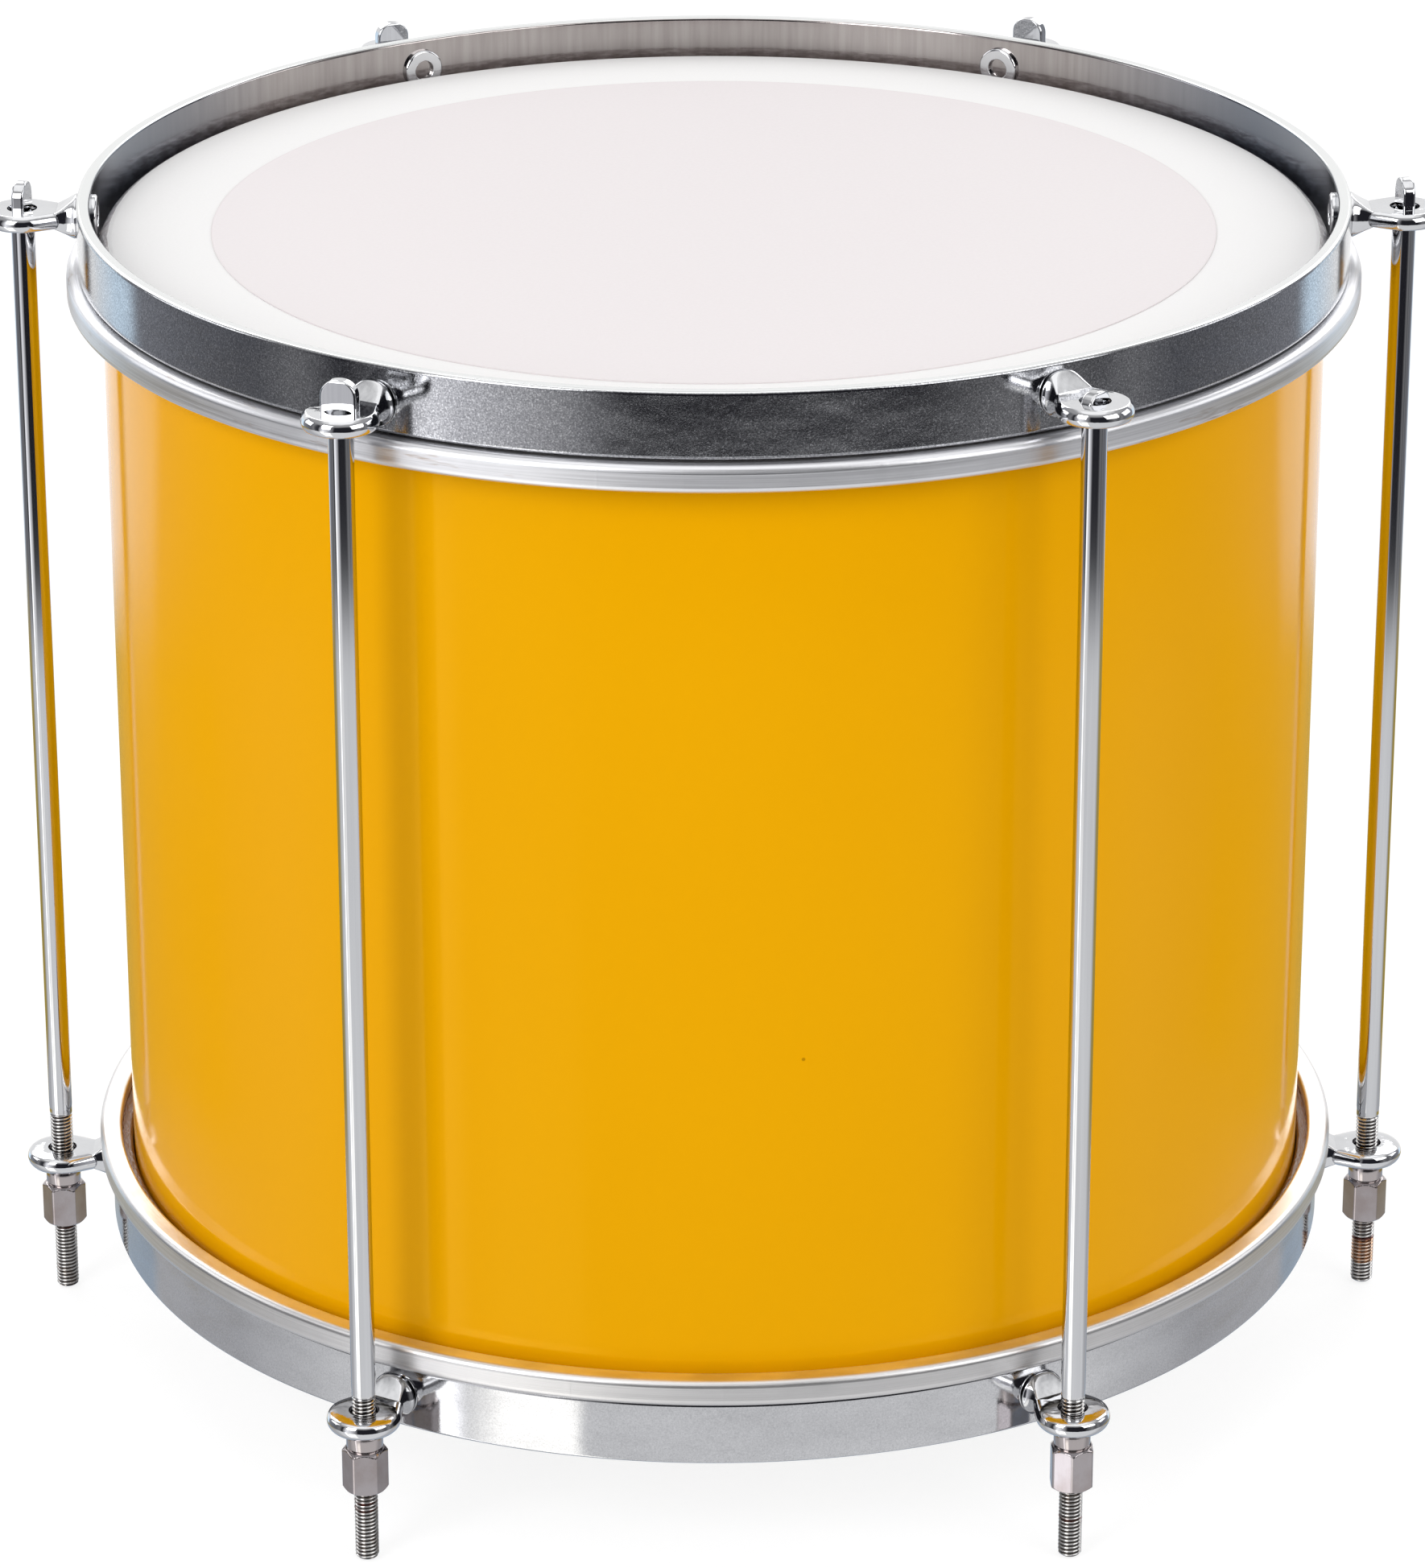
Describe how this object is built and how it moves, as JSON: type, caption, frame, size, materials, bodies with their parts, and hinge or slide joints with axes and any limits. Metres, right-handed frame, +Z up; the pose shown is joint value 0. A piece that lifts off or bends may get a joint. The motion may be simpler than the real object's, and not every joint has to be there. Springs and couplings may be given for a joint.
{
  "type": "repinique drum",
  "caption": "Small cylindrical samba drum with two film heads, steel counter hoops, eye lugs and long tension rods with hex tuning nuts.",
  "frame": {"origin": "on the drum's axis, level with the lower tips of the tension rods that the drum stands on", "axes": "+Z up along the drum's axis, +X to the right along the longest extent, the front with two rods either side of it faces -Y"},
  "size_m": [0.3624, 0.3222, 0.3055],
  "materials": {
    "shell_paint": "high gloss yellow enamel",
    "coated_film": "matt white coating on clear polyester film",
    "dot_film": "matt, faintly pink grey dot",
    "hoop_aluminium": "brushed, with glue marks and light stains",
    "hoop_chrome": "chromed flat steel strip, slightly orange-peeled",
    "lug_chrome": "polished chrome over a forged eye",
    "rod_chrome": "polished chrome, thread brushed dull",
    "nut_nickel": "satin nickel with a brownish cast"
  },
  "bodies": {
    "shell": {"shell": "shell_paint"},
    "top_assembly": {"top_head": "coated_film", "top_head_dot": "dot_film", "top_flesh_hoop": "hoop_aluminium", "top_hoop": "hoop_chrome", "lug_top_left": "lug_chrome", "lug_top_front_left": "lug_chrome", "lug_top_front_right": "lug_chrome", "lug_top_right": "lug_chrome", "lug_top_back_right": "lug_chrome", "lug_top_back_left": "lug_chrome", "rod_left": "rod_chrome", "rod_front_left": "rod_chrome", "rod_front_right": "rod_chrome", "rod_right": "rod_chrome", "rod_back_right": "rod_chrome", "rod_back_left": "rod_chrome"},
    "bottom_assembly": {"bottom_head": "coated_film", "bottom_flesh_hoop": "hoop_aluminium", "bottom_hoop": "hoop_chrome", "lug_bottom_left": "lug_chrome", "lug_bottom_front_left": "lug_chrome", "lug_bottom_front_right": "lug_chrome", "lug_bottom_right": "lug_chrome", "lug_bottom_back_right": "lug_chrome", "lug_bottom_back_left": "lug_chrome"},
    "nut_left": {"nut_left": "nut_nickel"},
    "nut_front_left": {"nut_front_left": "nut_nickel"},
    "nut_front_right": {"nut_front_right": "nut_nickel"},
    "nut_right": {"nut_right": "nut_nickel"},
    "nut_back_right": {"nut_back_right": "nut_nickel"},
    "nut_back_left": {"nut_back_left": "nut_nickel"}
  },
  "joints": [
    {"name": "top_hoop_lift", "type": "slide", "parent": "shell", "child": "top_assembly", "axis": [0, 0, 1], "range_m": [0, 0.008]},
    {"name": "bottom_hoop_lift", "type": "slide", "parent": "shell", "child": "bottom_assembly", "axis": [0, 0, -1], "range_m": [0, 0.008]},
    {"name": "nut_left_turn", "type": "hinge", "parent": "bottom_assembly", "child": "nut_left", "pos_m": [-0.1721, 0, 0.0273], "axis": [0, 0, -1], "range_deg": [0, 5760]},
    {"name": "nut_front_left_turn", "type": "hinge", "parent": "bottom_assembly", "child": "nut_front_left", "pos_m": [-0.08605, -0.14904, 0.0273], "axis": [0, 0, -1], "range_deg": [0, 5760]},
    {"name": "nut_front_right_turn", "type": "hinge", "parent": "bottom_assembly", "child": "nut_front_right", "pos_m": [0.08605, -0.14904, 0.0273], "axis": [0, 0, -1], "range_deg": [0, 5760]},
    {"name": "nut_right_turn", "type": "hinge", "parent": "bottom_assembly", "child": "nut_right", "pos_m": [0.1721, 0, 0.0273], "axis": [0, 0, -1], "range_deg": [0, 5760]},
    {"name": "nut_back_right_turn", "type": "hinge", "parent": "bottom_assembly", "child": "nut_back_right", "pos_m": [0.08605, 0.14904, 0.0273], "axis": [0, 0, -1], "range_deg": [0, 5760]},
    {"name": "nut_back_left_turn", "type": "hinge", "parent": "bottom_assembly", "child": "nut_back_left", "pos_m": [-0.08605, 0.14904, 0.0273], "axis": [0, 0, -1], "range_deg": [0, 5760]}
  ],
  "couplings": [
    {"joint": "bottom_hoop_lift", "follows": "top_hoop_lift", "ratio": 1},
    {"joint": "nut_left_turn", "follows": "top_hoop_lift", "rad_per_m": 12566},
    {"joint": "nut_front_left_turn", "follows": "top_hoop_lift", "rad_per_m": 12566},
    {"joint": "nut_front_right_turn", "follows": "top_hoop_lift", "rad_per_m": 12566},
    {"joint": "nut_right_turn", "follows": "top_hoop_lift", "rad_per_m": 12566},
    {"joint": "nut_back_right_turn", "follows": "top_hoop_lift", "rad_per_m": 12566},
    {"joint": "nut_back_left_turn", "follows": "top_hoop_lift", "rad_per_m": 12566}
  ]
}
